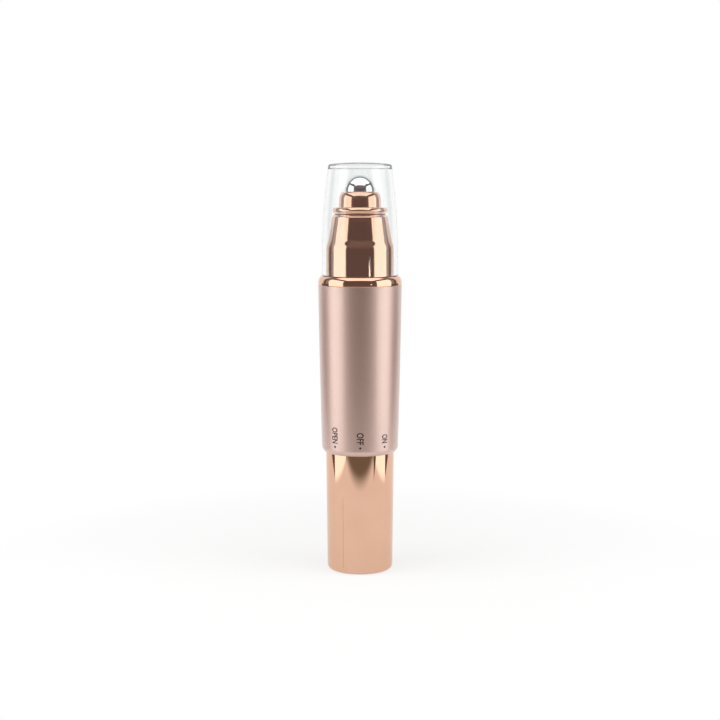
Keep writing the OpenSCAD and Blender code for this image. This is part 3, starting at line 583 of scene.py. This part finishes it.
# %% Finish the cell and the brass
CELL_LOW, CELL_HIGH = 9.1, 57.4  # the wrapped length, in mm
wrapper = surface("shrunk wrap on a steel can", ("#4A4C51", "#404247"), 3, (0.25, 0.35))
tree = wrapper.node_tree
skin, output = node_of(wrapper, "BSDF_PRINCIPLED"), node_of(wrapper, "OUTPUT_MATERIAL")
place = node_of(wrapper, "TEX_COORD").outputs["Object"]
height = add(tree, "SeparateXYZ", {"Vector": place}).outputs["Z"]
above = maths(tree, "GREATER_THAN", height, CELL_LOW * MM)
below = maths(tree, "LESS_THAN", height, CELL_HIGH * MM)
bare = add(tree, "BsdfPrincipled", {"Base Color": colour("#BFC1C4"), "Metallic": 1.0,
    "Roughness": 0.25})
both = add(tree, "MixShader", {0: maths(tree, "MULTIPLY", above, below),
    1: bare.outputs["BSDF"], 2: skin.outputs["BSDF"]})
tree.links.new(both.outputs["Shader"], output.inputs["Surface"])
paint(wrapper, "battery_cell")
paint(surface("brass, stamped", ("#D6B26A", "#C79F58"), 1.0, (0.2, 0.32), metallic=1.0),
    "negative_strip", "wiper", "switch_track", "positive_contact")

# %% [markdown]
# ## The electronics
#
# Boards are green lacquered glass cloth. Their parts are black moulded blocks.
# The heater is a white ceramic ring with a thermistor bead beside it, in an
# aluminium cup, and the motor's weight is sintered metal with a sandy look.

# %% Finish the boards, the heater and the weight
paint(surface("glass-fibre laminate, lacquered", ("#2B6A45", "#235A3A"), 0.8, (0.25, 0.35), 0.003),
    "contact_board", "circuit_board")
paint(surface("epoxy, moulded black", ("#2E2F33", "#232427"), 0.3, (0.4, 0.55), 0.004),
    "board_parts")
paint(surface("alumina ceramic", ("#E2DCD0", "#D6CFC1"), 0.3, (0.5, 0.65), 0.004), "heater_ring")
paint(surface("epoxy bead, brown", ("#824F30", "#6F4228"), 0.8, (0.15, 0.3), ior=1.55),
    "thermistor")
paint(surface("aluminium, turned", ("#CDCFD2", "#C2C4C8"), 0.5, (0.18, 0.28), 0.002,
    metallic=1.0), "heat_cup")
paint(surface("sintered metal", ("#98938C", "#827D76"), 0.25, (0.4, 0.55), 0.008,
    metallic=1.0), "eccentric_weight")

# %% [markdown]
# ## The wires
#
# Each group of wires is one CAD node, but its wires have two colours. The
# insulation is soft silicone. The sign or the size of X tells the colours apart,
# so one material serves a group with no extra slots.


# %% Finish the wires
def wire_colours(name, node, inner, outer, split, by_size):
    """A wire insulation whose colour changes where X, or its size, passes split (mm)."""
    material = surface(name, (inner, inner), 0.6, (0.35, 0.5), 0.004)
    tree = material.node_tree
    place = node_of(material, "TEX_COORD").outputs["Object"]
    across = add(tree, "SeparateXYZ", {"Vector": place}).outputs["X"]
    if by_size:
        across = maths(tree, "ABSOLUTE", across)
    choice = add(tree, "ValToRGB", {"Fac": maths(tree, "GREATER_THAN", across, split * MM)})
    for stop, shade in zip(choice.color_ramp.elements, (inner, outer)):
        stop.color = colour(shade)
    tree.links.new(choice.outputs["Color"],
        node_of(material, "BSDF_PRINCIPLED").inputs["Base Color"])
    paint(material, node)


wire_colours("silicone insulation, heater", "heater_wires", "#DCD7CC", "#B8452F", 1.0, True)
wire_colours("silicone insulation, motor", "motor_wires", "#B23A38", "#34445E", 0.0, False)
wire_colours("silicone insulation, cell", "cell_wires", "#A93433", "#2D2D31", 1.5, False)

# %% [markdown]
# ## The light tent
#
# The picture was taken inside a small white cube, open at the front. Mirror metal
# shows the whole room, so the cube is rebuilt at its real size: a lit ceiling, two
# lit walls whose rear parts lie in shade and are drawn darker (painted shade), the
# dark opening behind the camera, and the front of the white table, drawn darker where
# it lies in shade outside the tent (painted shade). The ball shows it all at once: a
# white window on top, a bright patch at each side, and a dark square in the middle.
#
# Lamps and mirrors get the cube separately. Area lamps light the wand from the
# places of the cloth, but neither the camera nor a mirror sees them. What the
# metal mirrors are cards: their material is clear until a ray has bounced off
# something glossy. So a camera anywhere looks straight through them, and each
# strip of cloth can have a brightness of its own.

# %% Hang the lamps
TENT_HALF, TENT_FRONT, TENT_TOP = 0.142, -0.135, 0.236  # metres
WALL_LIT, CEILING_LIT = 0.003, 0.03  # how far back, in Y, the wall and the ceiling are lit
LEVEL = 1.8  # brightness of the cloth, where 1 is white


def lamp(name, centre, size, facing):
    """A lit cloth: centre and size in metres, and the way it faces."""
    data = bpy.data.lights.new(name, "AREA")
    data.shape = "RECTANGLE"
    data.size, data.size_y = size
    data.energy = LEVEL * pi * size[0] * size[1]
    lit = bpy.data.objects.new(name, data)
    bpy.context.scene.collection.objects.link(lit)
    lit.location = centre
    lit.rotation_euler = Vector(facing).to_track_quat("-Z", "Y").to_euler()
    lit.visible_camera = lit.visible_glossy = lit.visible_transmission = False


middle_y, depth = (TENT_FRONT + WALL_LIT) / 2, WALL_LIT - TENT_FRONT
for side in (-1, 1):
    lamp("wall_lamp", (side * TENT_HALF, middle_y, TENT_TOP / 2), (depth, TENT_TOP), (-side, 0, 0))
lamp("ceiling_lamp", (0, middle_y, TENT_TOP), (2 * TENT_HALF, depth), (0, 0, -1))
print("lit cloth:", round(depth / MM), "mm deep and", round(TENT_TOP / MM), "mm high")

# %% [markdown]
# ## The table and the cards
#
# The table is plain white paper. A camera ray sees mostly its own white and only
# a little of its shading, which keeps a faint soft shadow under the wand and fades
# out with the distance from it. The cards are the cloth of the tent and what
# stands between it: strips of the cloth in shade at its hems and behind its lit part,
# drawn darker (painted shade), a dark wedge low on each wall whose lower edge
# rises towards the back, a dark flap at the right, one small bright strip for the
# glint in the nozzle, and the room behind the camera. The seam under the ceiling
# is a gap, through which the dark room shows.
# The lit cloth's foot and the darker front of the table fade in, because a mirror would
# draw a hard edge there. The fade also draws the cloth's foot darker where it meets
# the table, and the table's front is in shade outside the tent (painted shade).


# %% Lay the table
def stage_material(name):
    """An empty material that lights nothing, with its tree and its light paths."""
    material = bpy.data.materials.new(name)
    material.use_nodes = True
    material.cycles.emission_sampling = "NONE"
    material.node_tree.nodes.clear()
    return material, material.node_tree, add(material.node_tree, "LightPath")


sheets = []


def sheet_of(name, material, corners):
    """A flat stage sheet from its corners, in metres."""
    bm = bmesh.new()
    bm.faces.new([bm.verts.new(corner) for corner in corners])
    mesh = bpy.data.meshes.new(name)
    bm.to_mesh(mesh)
    bm.free()
    mesh.materials.append(material)
    flat = bpy.data.objects.new(name, mesh)
    bpy.context.scene.collection.objects.link(flat)
    sheets.append(flat)


def level_sheet(name, material, x, start, end, z):
    """A level sheet as wide as -x to x, between two values of Y."""
    sheet_of(name, material, [(-x, start, z), (x, start, z), (x, end, z), (-x, end, z)])


PAPER_NEAR, PAPER_FAR, PAPER_LEAST = 0.03, 0.14, 0.7  # metres, metres, and the white's least share
paper, tree, rays = stage_material("white paper")
matt = add(tree, "BsdfDiffuse", {"Color": colour("#F4F4F3")})
white = add(tree, "Emission", {"Color": colour("#FFFFFF"), "Strength": 1.0})
place = add(tree, "TexCoord").outputs["Object"]
away = add(tree, "VectorMath", {0: place}, operation="LENGTH").outputs["Value"]
fade = add(tree, "MapRange", {"Value": away, "From Min": PAPER_NEAR, "From Max": PAPER_FAR,
    "To Min": PAPER_LEAST, "To Max": 1.0}).outputs["Result"]
seen = maths(tree, "LESS_THAN", rays.outputs["Is Diffuse Ray"], 0.5)
mix = add(tree, "MixShader", {0: maths(tree, "MULTIPLY", seen, fade), 1: matt.outputs[0],
    2: white.outputs[0]})
add(tree, "OutputMaterial", {"Surface": mix.outputs[0]})
level_sheet("table", paper, 2, -2, 2, 0)
print("the paper is white from", round(PAPER_FAR / MM), "mm out")


# %% Stand the cards
def card(name, level, tint="#FFFFFF", fade=None):
    """A card that only mirrors show. fade is an axis and where the card begins and is full."""
    material, tree, rays = stage_material(name)
    shown = maths(tree, "GREATER_THAN", rays.outputs["Glossy Depth"], 0.5)
    if fade:
        axis, begins, full = fade
        place = add(tree, "SeparateXYZ", {"Vector": add(tree, "TexCoord").outputs["Object"]})
        ramp = add(tree, "MapRange", {"Value": place.outputs[axis], "From Min": begins,
            "From Max": full}, interpolation_type="SMOOTHSTEP")
        shown = maths(tree, "MULTIPLY", shown, ramp.outputs["Result"])
    glow = add(tree, "Emission", {"Color": colour(tint), "Strength": level})
    mix = add(tree, "MixShader", {0: shown, 1: add(tree, "BsdfTransparent").outputs[0],
        2: glow.outputs[0]})
    add(tree, "OutputMaterial", {"Surface": mix.outputs[0]})
    return material


# The lit cloth fades in over its lowest five millimetres, drawing its foot darker where it meets
# the table (painted shade).
cloth = card("tent cloth, lit", LEVEL, fade=("Z", 0.0, 0.005))
# The same cloth at a fifth of the brightness: cloth in shade (painted shade).
shaded_cloth = card("tent cloth, in shade", 0.36)
# The dark card is the room behind the camera. On the walls it paints the deeper shade further back
# (painted shade), the dark wedge and the flap.
dark = card("dark card", 0.155, "#FFE2E4")
# The table in front of the tent lies in shade. This card draws it darker for mirrors, fading in
# towards the front (painted shade).
shaded_table_front = card("table's front, in shade", 0.2, "#FFEFDA", ("Y", -0.124, -0.168))
glint = card("glint", 2.4)

# Corners in metres. The card of the table's shaded front lies half a millimetre above the table.
ROOM = [(-0.6, -0.62, 0), (0.6, -0.62, 0), (0.6, -0.62, 0.5), (-0.6, -0.62, 0.5)]
FLAP = [(0.142, -0.142, 0.008), (0.142, -0.1, 0.008), (0.108, -0.104, 0.0006)]
GLINT = [(0.144, -0.264, 0.078), (0.163, -0.253, 0.078), (0.163, -0.253, 0.092),
    (0.144, -0.264, 0.0985)]
level_sheet("table_front", shaded_table_front, 1, -1, -0.12, 0.0005)
sheet_of("room", dark, ROOM)
sheet_of("flap", dark, FLAP)
sheet_of("glint", glint, GLINT)

SEAM, HEM, WEDGE_TOP = 0.032, 0.03, 0.088  # the seam's and the hem's width, the dark wedge's height
WALL_HEM, GREY_END, DARK_END, REAR = 0.01, 0.032, 0.058, 0.05  # widths of what adjoins the cloth
HIGH = TENT_TOP - SEAM
EDGE = [(WALL_LIT, WEDGE_TOP), (WALL_LIT, 0.1), (0.012, 0.15), (0.012, HIGH)]
WEDGE = [(WALL_LIT, 0.003), (0.05, 0.014), (0.1, 0.04), (0.1, WEDGE_TOP), (WALL_LIT, WEDGE_TOP)]


def strip(near, far):
    """A strip of wall as (y, z) corners, as far behind the lit edge as near and far say."""
    return [(y + near, z) for y, z in EDGE] + [(y + far, z) for y, z in EDGE[::-1]]


hem = [(TENT_FRONT - WALL_HEM, 0), (TENT_FRONT, 0), (TENT_FRONT, HIGH),
    (TENT_FRONT - WALL_HEM, HIGH)]
lit_wall = [(TENT_FRONT, 0), (WALL_LIT, 0)] + EDGE + [(TENT_FRONT, HIGH)]
# Each wall: a hem in shade, the lit cloth, a strip in shade and a darker one behind it (painted
# shade), and the dark wedge.
for side in (-1, 1):
    for material, corners in ((shaded_cloth, hem), (cloth, lit_wall), (shaded_cloth, strip(0, GREY_END)),
            (dark, strip(GREY_END, DARK_END)), (dark, WEDGE)):
        sheet_of("wall", material, [(side * TENT_HALF, y, z) for y, z in corners])
# The ceiling: a hem and a rear strip in shade (painted shade) round the lit cloth.
for material, start, end in ((shaded_cloth, TENT_FRONT - HEM, TENT_FRONT),
        (cloth, TENT_FRONT, CEILING_LIT), (shaded_cloth, CEILING_LIT, CEILING_LIT + REAR)):
    level_sheet("ceiling", material, TENT_HALF - SEAM, start, end, TENT_TOP)
print("stage sheets:", len(sheets))

# %% [markdown]
# ## The background
#
# The world is plain white to the eye and through the cap, and lights matt surfaces
# at half that. A mirror sees it too, but only behind the wand: towards the camera
# the room is dark. The direction of a ray decides, never the camera's place.

# %% Set up the world
BACK_FROM, BACK_FULL = 0.46, 0.56  # the ray's direction in Y where the white begins and is full
ROOM_LEVEL, MATT_LEVEL = 0.15, 0.5
world = bpy.data.worlds.new("studio")
bpy.context.scene.world = world
world.use_nodes = True
world.cycles.sampling_method = "NONE"
tree = world.node_tree
tree.nodes.clear()
rays = add(tree, "LightPath")
direction = add(tree, "SeparateXYZ", {"Vector": add(tree, "TexCoord").outputs["Generated"]})
towards_back = add(tree, "MapRange", {"Value": direction.outputs["Y"], "From Min": BACK_FROM,
    "From Max": BACK_FULL, "To Min": ROOM_LEVEL, "To Max": 1.0})
mirrored = maths(tree, "GREATER_THAN", rays.outputs["Glossy Depth"], 0.5)
plain = add(tree, "MapRange", {"Value": rays.outputs["Is Diffuse Ray"], "To Min": 1.0,
    "To Max": MATT_LEVEL})
in_mirror = add(tree, "Background", {"Color": colour("#FFFFFF"),
    "Strength": towards_back.outputs["Result"]})
to_eye = add(tree, "Background", {"Color": colour("#FFFFFF"),
    "Strength": plain.outputs["Result"]})
mix = add(tree, "MixShader", {0: mirrored, 1: to_eye.outputs[0], 2: in_mirror.outputs[0]})
add(tree, "OutputWorld", {"Surface": mix.outputs[0]})

bpy.context.scene.view_settings.view_transform = "Standard"
print("world nodes:", len(tree.nodes))
